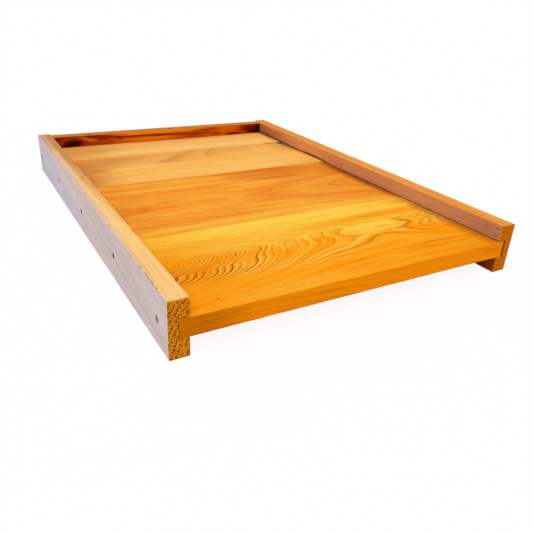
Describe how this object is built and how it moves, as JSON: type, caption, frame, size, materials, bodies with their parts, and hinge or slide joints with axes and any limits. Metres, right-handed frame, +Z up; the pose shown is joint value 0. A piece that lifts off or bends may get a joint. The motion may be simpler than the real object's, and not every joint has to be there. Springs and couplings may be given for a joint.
{
  "type": "solid bottom board",
  "caption": "Flat wooden hive floor: planks laid across between two grooved side rails, with a low back rail and an open front, on which a hive body stands.",
  "frame": {"origin": "middle of the board's underside, on the surface that the side rails stand on", "axes": "+X to the right seen from the entrance, +Y from the open front to the back rail, +Z up"},
  "size_m": [0.4128, 0.5778, 0.0571],
  "materials": {
    "side_rail_wood": "planed, oiled",
    "back_rail_wood": "planed, oiled",
    "floor_wood": "planed, oiled",
    "nail_steel": "bright, weathered"
  },
  "bodies": {
    "root": {"left_rail": "side_rail_wood", "right_rail": "side_rail_wood", "back_rail": "back_rail_wood", "floor_plank_front": "floor_wood", "floor_plank_second": "floor_wood", "floor_plank_third": "floor_wood", "floor_plank_rear": "floor_wood", "left_rail_nail_1": "nail_steel", "left_rail_nail_2": "nail_steel", "left_rail_nail_3": "nail_steel", "left_rail_nail_4": "nail_steel", "left_rail_nail_5": "nail_steel", "right_rail_nail_1": "nail_steel", "right_rail_nail_2": "nail_steel", "right_rail_nail_3": "nail_steel", "right_rail_nail_4": "nail_steel", "right_rail_nail_5": "nail_steel", "back_rail_nail_1": "nail_steel", "back_rail_nail_2": "nail_steel", "back_rail_nail_3": "nail_steel"}
  },
  "joints": []
}
